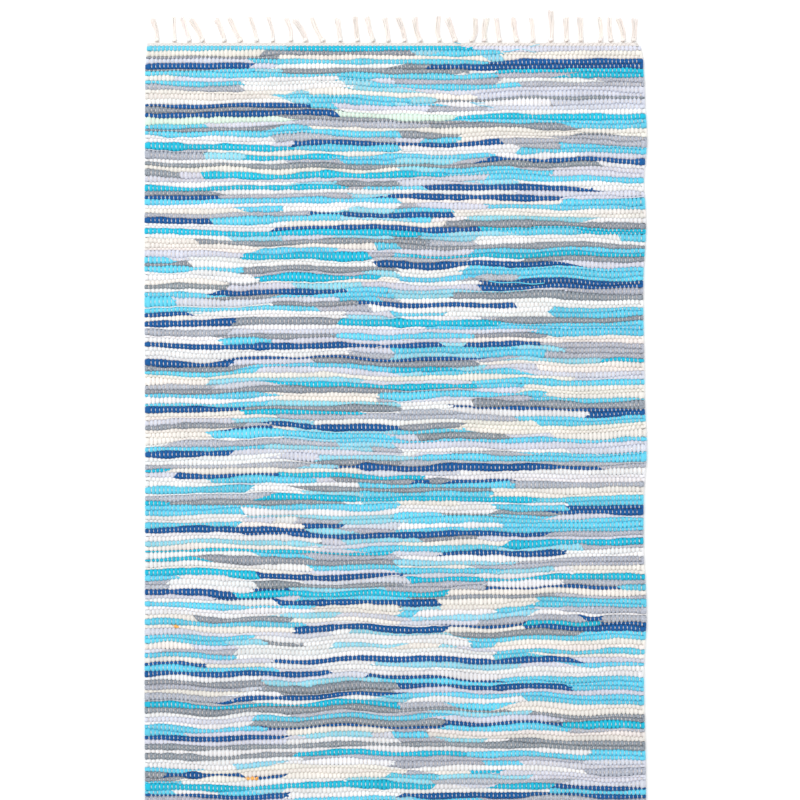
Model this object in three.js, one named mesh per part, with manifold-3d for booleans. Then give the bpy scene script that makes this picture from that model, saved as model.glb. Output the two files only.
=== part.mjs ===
import * as THREE from "three";
import { mergeGeometries, mergeVertices } from "three/addons/utils/BufferGeometryUtils.js";
import Module from "manifold-3d";

// A flat-woven cotton rag rug, lying on the floor. Millimetres, +Z up.
// The wefts (picks) run along X, the warp and its knotted fringe along Y.
// The origin is on the underside, in the middle of the rug.

// Driving dimensions
const WIDTH = 700; // selvedge to selvedge, where the rug is widest
const CLOTH_LENGTH = 1200; // along the warp, with the two headings
const FRINGE_REACH = 46; // from the heading to the longest tassel's tip
const HEADING = 5; // the narrow band of plain cotton picks at each end
const CREST = 7; // thickness over the middle of a pick
const VALLEY = 5.2; // thickness between two picks
const PICKS = 190; // rows of rag weft
const PART_GAP = 0.3; // between the rag cloth and each heading

const RAG_LENGTH = CLOTH_LENGTH - 2 * (HEADING + PART_GAP);
const PITCH = RAG_LENGTH / PICKS;
const HALF_WIDTH = WIDTH / 2;

// The selvedge loops: each loop joins two picks, and dips in before the next one
const LOOP_DIP = 1.8;
const EDGE_HEIGHT = 3.4; // the rounded selvedge, half way up the cloth
const EDGE_ROUND = 4.5; // how far in from the selvedge the cloth has its full thickness
const COLUMNS = 5; // stretches of each pick between its rounded ends

// How the picks wander: each follows the one before, and swings a little of its own
const KEPT_DRIFT = 0.86;
const SWINGS = [
  { wavelength: 640, size: 0.95 },
  { wavelength: 290, size: 0.75 },
  { wavelength: 130, size: 0.45 },
];
const STRAIGHTENED_PICKS = 9; // the picks next to a heading lie straight

// How far each selvedge lies inside the widest line, along the rug from the far end
const RIGHT_OUTLINE = [
  { from_end: 0, inset: 13 },
  { from_end: 10, inset: 8 },
  { from_end: 26, inset: 5.5 },
  { from_end: 76, inset: 3 },
  { from_end: 132, inset: 0 },
  { from_end: 193, inset: 4.5 },
  { from_end: 250, inset: 1.5 },
  { from_end: 340, inset: 5.5 },
  { from_end: 493, inset: 3.5 },
  { from_end: 563, inset: 0.3 },
  { from_end: 640, inset: 5 },
  { from_end: 695, inset: 5 },
  { from_end: 792, inset: 0.7 },
  { from_end: 880, inset: 4.5 },
  { from_end: 1044, inset: 1.5 },
  { from_end: 1150, inset: 3.5 },
  { from_end: 1185, inset: 7 },
  { from_end: 1200, inset: 12 },
];
const LEFT_OUTLINE = [
  { from_end: 0, inset: 3.5 },
  { from_end: 40, inset: 1 },
  { from_end: 300, inset: 0 },
  { from_end: 620, inset: 1 },
  { from_end: 900, inset: 0.2 },
  { from_end: 1150, inset: 1.2 },
  { from_end: 1200, inset: 4 },
];

// The far end's tassels: each one's place from the middle of the rug, how far it leans to the left,
// and its length as a share of the longest
const FAR_TASSELS = [
  { at: -332, lean_deg: 11, length: 0.78 },
  { at: -308, lean_deg: 3, length: 0.8 },
  { at: -287, lean_deg: 17, length: 0.84 },
  { at: -268, lean_deg: 26, length: 0.86 },
  { at: -238, lean_deg: 18, length: 0.8 },
  { at: -215, lean_deg: 27, length: 0.88 },
  { at: -193, lean_deg: 15, length: 0.84 },
  { at: -171, lean_deg: 9, length: 0.81 },
  { at: -146, lean_deg: 9, length: 0.8 },
  { at: -124, lean_deg: 26, length: 0.86 },
  { at: -100, lean_deg: 27, length: 0.88 },
  { at: -77, lean_deg: 9, length: 0.79 },
  { at: -53, lean_deg: 7, length: 0.82 },
  { at: -31, lean_deg: 15, length: 0.83 },
  { at: -10, lean_deg: 9, length: 0.79 },
  { at: 13, lean_deg: 16, length: 0.83 },
  { at: 35, lean_deg: 17, length: 0.82 },
  { at: 61, lean_deg: 6, length: 0.82 },
  { at: 84, lean_deg: 19, length: 0.83 },
  { at: 105, lean_deg: -10, length: 0.79 },
  { at: 123, lean_deg: -2, length: 0.78 },
  { at: 145, lean_deg: 9, length: 0.79 },
  { at: 169, lean_deg: 11, length: 0.8 },
  { at: 191, lean_deg: 4, length: 0.78 },
  { at: 216, lean_deg: 0, length: 1 },
  { at: 238, lean_deg: 2, length: 0.8 },
  { at: 258, lean_deg: 4, length: 0.81 },
  { at: 285, lean_deg: 2, length: 0.8 },
  { at: 300, lean_deg: 6, length: 0.79 },
  { at: 317, lean_deg: 10, length: 0.79 },
  { at: 331, lean_deg: -2, length: 0.78 },
];

// The near end is out of sight: as many tassels, laid a little unevenly in the same way
const NEAR_LEAN_DEG = 22; // the spread of the leans
const NEAR_SHORTEST = 0.78;
const NEAR_SPREAD = 0.07; // how much longer than the shortest they may be
const NEAR_LONGEST = 17; // the one that is as long as the far end's longest, and hangs straight
const NEAR_OFF_PLACE = 5; // how unevenly they are spaced

// A tassel: the warp gathers in a knot against the heading, and hangs on from it in a few loose locks
const LOCKS = 3;
const LOCK = {
  width: 2.5,
  height: 2.1,
  root_spacing: 1.6,
  tip_spacing: 2.2,
  taper: 0.3,
  bevel: 0.6, // the top face's share of the bottom one's width
  longest: 1, // the middle lock is the longest
  unevenness: 0.07,
};
const KNOT = { width: 7, length: 7.5, height: 5, into_heading: 1.2, sides: 6, rings: 3, flattened: 0.75 };
const HEADING_HEIGHT = 3.6;

// The same number from 0 to 1 each time for one pair of seeds
function scatter(a, b) {
  const value = Math.sin(a * 12.9898 + b * 78.233) * 43758.5453;
  return value - Math.floor(value);
}

// A value between the rows of an outline table, smooth at each row
function insetAt(outline, fromEnd) {
  const next = outline.findIndex((row) => row.from_end >= fromEnd);
  if (next <= 0) return outline[Math.max(next, 0)].inset;
  const [a, b] = [outline[next - 1], outline[next]];
  const share = (fromEnd - a.from_end) / (b.from_end - a.from_end);
  return a.inset + (b.inset - a.inset) * share * share * (3 - 2 * share);
}

// x of the right (side 1) or left (side -1) selvedge at a height y of the plan
function selvedge(side, y) {
  const outline = side > 0 ? RIGHT_OUTLINE : LEFT_OUTLINE;
  return side * (HALF_WIDTH - insetAt(outline, CLOTH_LENGTH / 2 - y));
}

// How far each edge between two picks lies from its even place, at one x
function drifts(x) {
  const found = [0];
  for (let k = 1; k < PICKS; k++) {
    let swing = 0;
    SWINGS.forEach(({ wavelength, size }, j) => {
      swing += size * Math.sin(2 * Math.PI * (x / wavelength + scatter(k, j + 1)));
    });
    found.push(KEPT_DRIFT * found[k - 1] + swing);
  }
  found.push(0);
  const straight = (k) => Math.min(1, Math.min(k, PICKS - k) / STRAIGHTENED_PICKS);
  return found.map((drift, k) => drift * straight(k));
}

// y of the edges and middles of the picks at one x, from the far end: edge, middle, edge, ...
function pickLines(x) {
  const edges = drifts(x).map((drift, k) => RAG_LENGTH / 2 - k * PITCH + drift);
  const lines = [];
  edges.forEach((edge, k) => {
    lines.push(edge);
    if (k < PICKS) lines.push((edge + edges[k + 1]) / 2);
  });
  return lines;
}

// How deep the selvedge dips at a line: 0 in the middle of a loop, all of it between two loops
function loopDip(side, line) {
  const perLoop = 4; // two picks, each an edge line and a middle line
  const shift = side > 0 ? 0 : 2; // a loop on the left joins the picks that part on the right
  const phase = (line + shift) / perLoop;
  return LOOP_DIP * Math.pow(Math.cos(Math.PI * phase), 4);
}

// The woven body: ribbed top, rounded selvedges, flat underside
function rugBody() {
  const rows = 2 * PICKS;
  const top = new THREE.PlaneGeometry(1, 1, COLUMNS + 2, rows);
  const place = top.getAttribute("position");
  const across = COLUMNS + 3;
  const leftOfRow = (y, line) => selvedge(-1, y) + loopDip(-1, line);
  const rightOfRow = (y, line) => selvedge(1, y) - loopDip(1, line);
  for (let column = 0; column < across; column++) {
    const share = (column - 1) / COLUMNS;
    const lines = pickLines(-HALF_WIDTH + WIDTH * Math.min(1, Math.max(0, share)));
    lines.forEach((y, line) => {
      const [left, right] = [leftOfRow(y, line), rightOfRow(y, line)];
      const [first, last] = [left + EDGE_ROUND, right - EDGE_ROUND];
      const height = line % 2 ? CREST : VALLEY;
      const at = line * across + column;
      if (column === 0) place.setXYZ(at, left, y, EDGE_HEIGHT);
      else if (column === across - 1) place.setXYZ(at, right, y, EDGE_HEIGHT);
      else place.setXYZ(at, first + (last - first) * share, y, height);
    });
  }
  return closedOverFloor(top, across, rows + 1);
}

// The boundary of a grid of points, once round, anticlockwise seen from above
function gridRim(across, down) {
  const at = (row, column) => row * across + column;
  const rim = [];
  for (let row = 0; row < down - 1; row++) rim.push(at(row, 0));
  for (let column = 0; column < across - 1; column++) rim.push(at(down - 1, column));
  for (let row = down - 1; row > 0; row--) rim.push(at(row, across - 1));
  for (let column = across - 1; column > 0; column--) rim.push(at(0, column));
  return rim;
}

// Closes a grid surface down to the floor: upright walls round its rim, and a flat underside
function closedOverFloor(top, across, down) {
  const place = top.getAttribute("position");
  const rim = gridRim(across, down).map((i) => new THREE.Vector3().fromBufferAttribute(place, i));
  const walls = new THREE.PlaneGeometry(1, 1, rim.length, 1);
  const wall = walls.getAttribute("position");
  for (let i = 0; i <= rim.length; i++) {
    const { x, y, z } = rim[i % rim.length];
    wall.setXYZ(i, x, y, z);
    wall.setXYZ(rim.length + 1 + i, x, y, 0);
  }
  const floor = new THREE.ShapeGeometry(new THREE.Shape(rim.map(({ x, y }) => new THREE.Vector2(x, y))));
  floor.index.array.reverse(); // it faces down
  return welded(mergeGeometries([top, walls, floor].map(plain)));
}

// Positions only, so that pieces can be merged and their shared points welded
function plain(geometry) {
  const bare = geometry.index ? geometry.toNonIndexed() : geometry.clone();
  bare.deleteAttribute("normal");
  bare.deleteAttribute("uv");
  return bare;
}

function welded(geometry) {
  return mergeVertices(plain(geometry), 1e-4);
}

// A mesh geometry as a solid for joining, and back
const wasm = await Module();
wasm.setup();

function solid(geometry) {
  const merged = welded(geometry);
  return new wasm.Manifold(new wasm.Mesh({
    numProp: 3,
    vertProperties: merged.getAttribute("position").array,
    triVerts: new Uint32Array(merged.index.array),
  }));
}

function joined(geometries) {
  let whole = solid(geometries[0]);
  for (const geometry of geometries.slice(1)) whole = whole.add(solid(geometry));
  const mesh = whole.getMesh();
  const made = new THREE.BufferGeometry();
  made.setAttribute("position", new THREE.BufferAttribute(mesh.vertProperties, 3));
  made.setIndex(new THREE.BufferAttribute(mesh.triVerts, 1));
  return made;
}

// One loose lock, lying flat: it leaves the knot, parts from its neighbours and thins to its tip
function lock(index, length) {
  const body = new THREE.BoxGeometry(1, 1, 1);
  const place = body.getAttribute("position");
  const beside = index - (LOCKS - 1) / 2;
  for (let i = 0; i < place.count; i++) {
    const along = place.getY(i) + 0.5;
    const thin = 1 - LOCK.taper * along;
    const middle = beside * THREE.MathUtils.lerp(LOCK.root_spacing, LOCK.tip_spacing, along);
    const narrow = place.getZ(i) > 0 ? LOCK.bevel : 1; // narrower above, and flat on the floor
    place.setXYZ(
      i,
      middle + place.getX(i) * LOCK.width * thin * narrow,
      along * length,
      (place.getZ(i) + 0.5) * LOCK.height * thin,
    );
  }
  return body;
}

// A knot: a low drum of a few sides, drawn in at both ends and flat where it lies on the floor
function knot() {
  const body = new THREE.SphereGeometry(1, KNOT.sides, KNOT.rings);
  const place = body.getAttribute("position");
  for (let i = 0; i < place.count; i++) {
    place.setXYZ(
      i,
      place.getX(i) * KNOT.width / 2,
      place.getY(i) * KNOT.length / 2,
      Math.max(0, (place.getZ(i) + KNOT.flattened) * KNOT.height / (1 + KNOT.flattened)),
    );
  }
  return body;
}

// A tassel with the middle of its knot at the origin, reaching along +Y and leaning to the left
function tassel({ lean_deg, length }) {
  const reach = FRINGE_REACH + KNOT.into_heading - KNOT.length / 2;
  const locks = [];
  for (let i = 0; i < LOCKS; i++) {
    const shorter = LOCK.unevenness * Math.abs(i - LOCK.longest);
    locks.push(lock(i, reach * length * (1 - shorter)));
  }
  return [knot(), ...locks].map((piece) => piece.rotateZ(THREE.MathUtils.degToRad(lean_deg)));
}

// The two ends of a heading along X, as they lie before that end is turned round to its place
function headingSpan(end) {
  return [-1, 1].map((side) => end * selvedge(side * end, end * CLOTH_LENGTH / 2));
}

// Heading and fringe of one end. end is 1 at the far end, and -1 at the near one, which is turned round
function fringe(end, tassels) {
  const edge = CLOTH_LENGTH / 2;
  const [left, right] = headingSpan(end);
  const band = new THREE.BoxGeometry(right - left, HEADING, HEADING_HEIGHT);
  band.translate((left + right) / 2, edge - HEADING / 2, HEADING_HEIGHT / 2);
  const root = edge - KNOT.into_heading + KNOT.length / 2;
  const pieces = tassels.map((row) => tassel(row).map((piece) => piece.translate(row.at, root, 0)));
  const whole = joined([band, ...pieces.flat()]);
  return end > 0 ? whole : whole.rotateZ(Math.PI);
}

function nearTassels() {
  const [left, right] = headingSpan(-1);
  return FAR_TASSELS.map((_, i) => {
    const place = left + (right - left) * (i + 0.5) / FAR_TASSELS.length;
    if (i === NEAR_LONGEST) return { at: place, lean_deg: 0, length: 1 };
    return {
      at: place + NEAR_OFF_PLACE * (scatter(i, 4) - 0.5),
      lean_deg: NEAR_LEAN_DEG * (scatter(i, 5) - 0.5),
      length: NEAR_SHORTEST + NEAR_SPREAD * scatter(i, 6),
    };
  });
}

function mesh(name, geometry, color, roughness) {
  const material = new THREE.MeshStandardMaterial({ color, roughness, metalness: 0 });
  const made = new THREE.Mesh(geometry, material);
  made.name = name;
  return made;
}

const rug = new THREE.Group();
rug.add(mesh("rug_body", rugBody(), 0x8fc4dc, 0.92));
rug.add(mesh("fringe_far", fringe(1, FAR_TASSELS), 0xf3ece2, 0.9));
rug.add(mesh("fringe_near", fringe(-1, nearTassels()), 0xf3ece2, 0.9));

export default rug;
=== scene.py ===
import math
from collections import namedtuple

import bpy
import numpy as np
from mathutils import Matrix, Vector


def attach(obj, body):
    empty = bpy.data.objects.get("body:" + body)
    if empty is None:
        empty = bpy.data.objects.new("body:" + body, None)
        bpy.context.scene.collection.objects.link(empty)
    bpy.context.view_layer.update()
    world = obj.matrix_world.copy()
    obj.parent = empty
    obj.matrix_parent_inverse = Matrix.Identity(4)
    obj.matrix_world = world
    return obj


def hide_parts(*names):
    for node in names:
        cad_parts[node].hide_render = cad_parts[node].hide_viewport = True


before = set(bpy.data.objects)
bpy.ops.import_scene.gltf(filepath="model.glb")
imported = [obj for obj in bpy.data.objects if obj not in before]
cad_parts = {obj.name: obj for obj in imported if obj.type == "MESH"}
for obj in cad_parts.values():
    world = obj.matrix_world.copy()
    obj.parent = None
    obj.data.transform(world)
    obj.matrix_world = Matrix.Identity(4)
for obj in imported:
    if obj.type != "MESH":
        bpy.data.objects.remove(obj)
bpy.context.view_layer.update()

# A flat-woven cotton rag rug laid on the floor. Sizes are millimetres until a mesh is made, in metres.
MM = 0.001

# The cloth, as the solids have it
WIDTH = 700.0
CLOTH_LENGTH = 1200.0
HEADING = 5.0
PART_GAP = 0.3
PICKS = 190
RAG_LENGTH = CLOTH_LENGTH - 2 * (HEADING + PART_GAP)
PITCH = RAG_LENGTH / PICKS
KEPT_DRIFT = 0.86
STRAIGHTENED_PICKS = 9
Swing = namedtuple("Swing", "wavelength size")
SWINGS = [Swing(640, 0.95), Swing(290, 0.75), Swing(130, 0.45)]

# How far each selvedge lies inside the widest line: (distance from the far end, inset)
RIGHT_OUTLINE = [
    (0, 13), (10, 8), (26, 5.5), (76, 3), (132, 0), (193, 4.5), (250, 1.5), (340, 5.5), (493, 3.5),
    (563, 0.3), (640, 5), (695, 5), (792, 0.7), (880, 4.5), (1044, 1.5), (1150, 3.5), (1185, 7), (1200, 12),
]
LEFT_OUTLINE = [(0, 3.5), (40, 1), (300, 0), (620, 1), (900, 0.2), (1150, 1.2), (1200, 4)]

# The warp threads and how the rags bend over and under them
WARPS = 240
EDGE = 6.4  # from the selvedge to the outermost warp thread
WARP_HALF_WIDTH = 0.92
WARP_TOP = 5.8
WARP_BOTTOM = 0.5
WARP_RIDGE = 0.8  # how much higher a thread is in its middle than at its sides
CREST = 6.9  # top of a full rag where it passes over a warp thread
CREST_LOSS = 1.9  # how much lower a very thin rag lies there
DIP = 3.9  # top of a rag where it passes under one
RAG_THICKNESS = 4.0
PLATEAU = 1.4  # half the flat length of a rag over a warp thread
THINNEST_ROW = 0.26  # of the pitch
SWELL = 0.14  # how much a rag thickens and thins along its way
SWELLS_ACROSS = (2.7, 6.1)  # how many times it does so in the rug's width
LUMPS = 0.25  # and how uneven it is from thread to thread
SOFTENING = 5  # how many times its thickness is evened out with that at the threads beside

# The cloths that the rags were cut from, as they look in daylight
CLOTHS = {
    "N": ("navy", (2, 86, 152)),
    "T": ("turquoise", (20, 187, 218)),
    "S": ("sky", (99, 207, 235)),
    "A": ("aqua", (148, 216, 234)),
    "W": ("white", (238, 239, 241)),
    "C": ("cream", (238, 234, 228)),
    "L": ("lilac", (212, 215, 228)),
    "G": ("grey", (178, 183, 195)),
    "D": ("slate", (142, 150, 160)),
    "M": ("mint", (216, 238, 224)),
    "O": ("orange", (250, 180, 90)),
}
PHOTO_ROWS = 168  # this many rows show in the photograph
DRAWN = [  # what fills these rows between the charted rags: in their far, middle and near third
    "SSSSSAAAAAAAAAALLGGGG",
    "SSSSAAAAAAAAAALLLLGG",
    "SSSAAAAAAAALLLLLWWWWWG",
]
DRAWN_BEYOND = "NNTTDDDWWWWCCCSSSSAAAALLLLGGGG"  # and what all later rows are drawn from

# Which cloth each row shows at the left selvedge, from the far end, and each pair of rows at the right one
LEFT_CHART = (
    "SCCLNDSCSGWCNWNMMSLGSWSTGSWDCLCSGNSCSGNSCGTWCCGS"
    "DSWSDCLSSWSNCNCGWWGSCNNDWSCGDSWSNSCCDCCWWSNNWGTL"
    "WWSWGTDSCWSNDWSCTTDWCSSGWNLCSGCTSCGSSCLSNNTNCWDC"
    "GGSDWSLWSNLDSGDWSDDTSSNGLSCWGTSLCDWSNCSGWLTSCG"
)
RIGHT_CHART = (
    "LCNTGLLWSCGSNLSWLSCDTWGSLSNGWSGSCGTWLSCDNSCSLSGW"
    "GCSNLSGLTWGCSCGWGNSCSLWSLTCGTWDSLLSNGSCLTWGSCDS"
)

# Rags that stand out, each read off the photograph: how far down it lies and from where to where,
# in the photograph's pixels, and how thick it is, if not as most. A pixel is 1.39 mm of the rug.
PHOTO_PIXEL = 1.39
PHOTO_LEFT = 144.0
PHOTO_RIGHT = 646.0
READ_UP_TO = 640.0  # a rag that shows as far as this goes on to the selvedge
PHOTO_FIRST_ROW = 45.6
Run = namedtuple("Run", "down start end thickness", defaults=[1.0])
THIN = 0.4
THICK = 1.35
BROAD = 2.0  # two rows together
RUNS = {
    "S": [
        (48, 144, 286), (61, 249, 483), (73, 144, 319), (76, 385, 500), (77, 372, 459),
        (80, 246, 372, THIN), (82, 144, 233), (86, 372, 514), (90, 305, 359), (92, 154, 281),
        (97, 394, 447), (101, 308, 394), (124, 144, 201), (126, 275, 431), (135, 144, 308),
        (147, 144, 394, THICK), (148, 485, 646, THICK), (152, 583, 646), (156, 240, 375),
        (158, 144, 240), (158, 394, 507), (162, 342, 394), (176, 447, 646, BROAD), (188, 364, 394),
        (189, 394, 575), (199, 214, 385), (201, 144, 214), (204, 566, 646, THICK), (209, 394, 572),
        (219, 208, 340, THICK), (226, 144, 208), (233, 467, 646), (251, 415, 646), (258, 394, 475),
        (268, 187, 233, THIN), (268, 575, 646, BROAD), (271, 464, 572), (277, 144, 262),
        (279, 380, 477), (296, 278, 394), (297, 144, 267), (308, 144, 340), (308, 530, 646, BROAD),
        (309, 447, 510, THIN), (315, 394, 447, THIN), (326, 426, 646, BROAD), (334, 394, 478),
        (335, 334, 394), (349, 144, 350), (350, 394, 519), (356, 481, 646, THICK),
        (363, 417, 475, THIN), (365, 221, 394), (375, 255, 475), (376, 144, 267),
        (384, 472, 646, BROAD), (394, 343, 394), (395, 144, 295), (395, 394, 549, THICK),
        (409, 394, 454, THIN), (412, 158, 240), (421, 514, 646, BROAD), (432, 394, 515),
        (433, 206, 394, THICK), (440, 337, 646), (449, 144, 394), (458, 415, 646, THICK),
        (484, 394, 553), (486, 359, 394), (488, 144, 249), (499, 528, 646, BROAD), (506, 394, 464),
        (509, 144, 394), (509, 464, 588), (517, 394, 449), (519, 491, 646, BROAD), (525, 144, 216),
        (528, 394, 646), (549, 394, 443), (566, 310, 394), (576, 540, 646), (597, 447, 545, THIN),
        (605, 535, 646, BROAD), (606, 144, 311), (611, 394, 535), (620, 144, 189), (624, 192, 303),
        (625, 447, 587), (634, 585, 646), (640, 144, 249), (640, 472, 548), (643, 441, 498),
        (645, 248, 394), (648, 394, 441), (652, 494, 646, BROAD), (656, 144, 235), (656, 454, 546),
        (668, 144, 278), (683, 473, 646, BROAD), (696, 394, 528), (698, 528, 646, BROAD),
        (705, 455, 549), (706, 350, 394), (717, 144, 394), (718, 404, 535), (730, 425, 575, BROAD),
        (731, 144, 284), (737, 394, 418), (750, 144, 168), (751, 594, 646), (755, 394, 646),
        (793, 394, 485), (797, 284, 394),
    ],
    "A": [
        (209, 144, 220, THIN), (210, 346, 394), (220, 443, 596), (294, 394, 520), (517, 243, 394, THIN),
        (541, 144, 321), (563, 394, 524), (736, 284, 394),
    ],
    "L": [
        (46, 474, 640), (78, 171, 238), (89, 415, 646), (94, 478, 646), (104, 540, 646),
        (107, 335, 430), (109, 507, 549), (124, 203, 287), (143, 211, 287), (164, 498, 545),
        (169, 556, 646, BROAD), (179, 144, 198), (180, 297, 491), (195, 517, 646, BROAD),
        (255, 144, 256), (255, 394, 475), (262, 532, 646), (289, 394, 452), (291, 144, 216),
        (312, 189, 287), (330, 228, 540), (340, 268, 394), (341, 394, 464), (360, 221, 303),
        (371, 256, 400), (399, 394, 478), (422, 144, 230), (444, 394, 646, THICK), (454, 203, 451),
        (482, 232, 334), (515, 556, 646, BROAD), (520, 224, 272), (533, 144, 233), (537, 480, 646),
        (544, 319, 394), (554, 394, 481), (568, 179, 340), (574, 310, 394), (599, 233, 297),
        (621, 394, 481), (633, 144, 330), (650, 233, 290), (652, 144, 211), (652, 454, 494),
        (660, 201, 271), (661, 584, 646), (667, 276, 400), (668, 546, 646), (690, 198, 287),
        (691, 394, 646), (717, 566, 633), (722, 144, 251), (720, 446, 565), (740, 144, 303),
        (747, 394, 507), (748, 233, 394), (761, 588, 646), (767, 524, 646),
    ],
    "G": [
        (79, 459, 524), (82, 394, 475), (82, 524, 646), (89, 144, 240), (104, 259, 308, THIN),
        (137, 144, 205), (138, 270, 394, THICK), (141, 562, 646, THICK), (144, 503, 562),
        (154, 144, 200), (196, 216, 351), (214, 214, 307), (258, 525, 646), (268, 342, 394),
        (270, 394, 464), (307, 394, 447), (309, 318, 394), (333, 144, 216), (346, 545, 643, THICK),
        (354, 347, 394), (354, 550, 640), (389, 400, 480, THIN), (417, 273, 520),
        (442, 161, 337, THICK), (454, 451, 533), (463, 307, 646), (465, 144, 306), (467, 605, 646),
        (485, 517, 646, BROAD), (496, 144, 265), (532, 553, 646), (561, 520, 646, BROAD),
        (568, 475, 575), (585, 144, 163), (585, 394, 488), (596, 556, 646, BROAD), (600, 439, 540),
        (610, 144, 233), (616, 480, 646, THICK), (650, 160, 233), (690, 144, 240),
        (700, 144, 250, THICK), (706, 400, 455), (760, 300, 575), (771, 433, 498, THIN),
        (772, 500, 643, THICK), (777, 240, 388), (781, 433, 572), (799, 532, 646),
    ],
    "W": [
        (66, 163, 216), (66, 273, 431, BROAD), (72, 400, 503, THIN), (77, 503, 601), (78, 240, 337),
        (84, 240, 343, BROAD), (102, 443, 555), (107, 144, 257, THIN), (112, 337, 555),
        (113, 555, 646, BROAD), (129, 144, 202), (139, 144, 271, BROAD), (151, 400, 520, BROAD),
        (155, 496, 582), (162, 536, 637), (164, 144, 285, BROAD), (183, 144, 294),
        (187, 596, 644, BROAD), (192, 216, 519), (204, 144, 400), (209, 280, 345), (218, 433, 467),
        (228, 144, 271, BROAD), (237, 479, 624, BROAD), (241, 144, 195), (251, 400, 414),
        (260, 472, 534, BROAD), (263, 187, 373, BROAD), (273, 144, 250, BROAD), (274, 400, 462, BROAD),
        (285, 400, 493), (289, 144, 216), (298, 400, 510), (301, 520, 641, BROAD),
        (304, 144, 268, THIN), (305, 268, 366), (310, 371, 446), (313, 448, 557, BROAD),
        (314, 188, 345, BROAD), (317, 400, 483), (326, 400, 424, BROAD), (327, 237, 400),
        (329, 144, 230), (339, 144, 218, BROAD), (354, 144, 345, BROAD), (399, 144, 273),
        (404, 400, 476, BROAD), (412, 350, 400, THIN), (414, 460, 605), (423, 311, 464),
        (438, 206, 281), (443, 144, 161, BROAD), (449, 400, 572), (456, 400, 417), (459, 144, 400),
        (477, 424, 646, BROAD), (482, 144, 206, BROAD), (487, 249, 357, BROAD), (492, 144, 302, THIN),
        (501, 164, 362), (503, 462, 572, THIN), (511, 400, 498, BROAD), (513, 240, 400),
        (518, 144, 240, BROAD), (524, 400, 497), (538, 144, 320, BROAD), (552, 569, 644, BROAD),
        (557, 400, 555), (565, 144, 180), (574, 476, 555), (581, 225, 302, THIN),
        (584, 164, 250, BROAD), (601, 144, 209), (609, 233, 312), (614, 144, 276, BROAD),
        (614, 417, 497), (638, 250, 472, BROAD), (653, 233, 497, BROAD), (664, 446, 546),
        (674, 316, 644, BROAD), (680, 144, 259, BROAD), (694, 237, 371, BROAD), (700, 410, 529),
        (706, 233, 328, THIN), (725, 144, 261), (739, 285, 400, BROAD), (750, 144, 594),
        (764, 144, 276), (767, 400, 589), (789, 281, 551), (790, 170, 213),
    ],
    "C": [
        (54, 507, 640, BROAD), (56, 144, 245), (57, 275, 478), (94, 306, 477), (96, 144, 268, BROAD),
        (131, 309, 572), (131, 577, 646), (136, 460, 558, BROAD), (152, 202, 400), (172, 144, 400),
        (202, 400, 563), (213, 144, 240), (215, 455, 644, BROAD), (222, 283, 448),
        (246, 144, 364, BROAD), (281, 256, 400, BROAD), (339, 550, 643, BROAD), (340, 464, 550),
        (364, 460, 541, THIN), (367, 541, 644, BROAD), (379, 144, 579), (392, 526, 644, BROAD),
        (396, 273, 378, BROAD), (417, 144, 273, BROAD), (423, 465, 540), (429, 465, 644, BROAD),
        (435, 144, 206, BROAD), (470, 164, 359), (492, 495, 644, BROAD), (501, 400, 462),
        (523, 237, 302), (542, 400, 510), (547, 144, 320, BROAD), (569, 144, 311, THIN),
        (569, 400, 476), (570, 576, 644, BROAD), (589, 448, 644), (604, 440, 536, BROAD),
        (608, 312, 400, BROAD), (619, 290, 400), (629, 144, 293), (632, 448, 526),
        (643, 498, 644, BROAD), (645, 400, 441), (664, 144, 264), (694, 144, 237),
        (708, 512, 644, BROAD), (724, 265, 394), (725, 400, 433), (731, 284, 394),
        (735, 429, 644, BROAD), (769, 195, 400, BROAD), (774, 434, 483), (775, 181, 383),
    ],
    "M": [
        (116, 280, 478, THICK), (118, 144, 290, THICK),
    ],
    "D": [
        (52, 260, 415), (58, 144, 265, THIN), (68, 400, 496), (70, 144, 212, THIN), (71, 280, 470),
        (99, 438, 643, THIN), (107, 172, 340, THIN), (110, 158, 197, THIN), (121, 286, 459),
        (124, 431, 575, THICK), (131, 144, 275), (134, 400, 458), (134, 582, 617, THIN),
        (165, 250, 605), (167, 144, 246, THIN), (185, 335, 400), (192, 144, 214),
        (225, 446, 643, THICK), (233, 144, 272), (236, 394, 420, THIN), (241, 194, 430),
        (244, 400, 643), (258, 527, 643), (264, 144, 185), (268, 240, 400), (282, 224, 259, THIN),
        (283, 144, 226), (292, 455, 643, THICK), (296, 219, 278), (302, 270, 372), (317, 500, 643),
        (320, 231, 337, THICK), (335, 476, 550), (336, 218, 331), (363, 312, 480), (371, 144, 248),
        (388, 271, 400), (390, 144, 271, THICK), (404, 475, 643, THICK), (406, 194, 380),
        (425, 400, 462), (427, 144, 228), (437, 418, 512, THICK), (464, 310, 400), (482, 333, 460),
        (490, 300, 495), (499, 425, 530), (504, 164, 345), (512, 499, 579), (517, 447, 499, THIN),
        (537, 423, 481), (541, 520, 646, THIN), (560, 144, 395, THICK), (586, 254, 400),
        (594, 410, 560, THIN), (621, 192, 285), (634, 452, 585), (643, 264, 300, THIN),
        (684, 259, 475, THICK), (686, 144, 259), (689, 280, 393, THIN), (710, 171, 400, THICK),
        (711, 400, 513, THIN), (716, 535, 646, THIN), (720, 566, 646, THIN), (721, 250, 440),
        (743, 510, 643), (744, 144, 643), (759, 144, 295, THICK), (789, 212, 300, THIN),
    ],
    "T": [
        (47, 286, 475), (71, 500, 646), (76, 574, 646), (117, 457, 643), (148, 144, 290, THICK),
        (156, 242, 342), (176, 199, 448, THICK), (187, 144, 343), (235, 144, 420), (254, 410, 643),
        (255, 240, 371, THICK), (279, 256, 380, THICK), (323, 339, 505, THICK), (367, 394, 460),
        (385, 276, 480), (411, 240, 364), (476, 275, 420), (497, 266, 540), (544, 510, 643, THICK),
        (552, 144, 394, 0.6), (560, 144, 200), (576, 144, 311, THICK), (580, 410, 643), (593, 233, 445),
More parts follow.
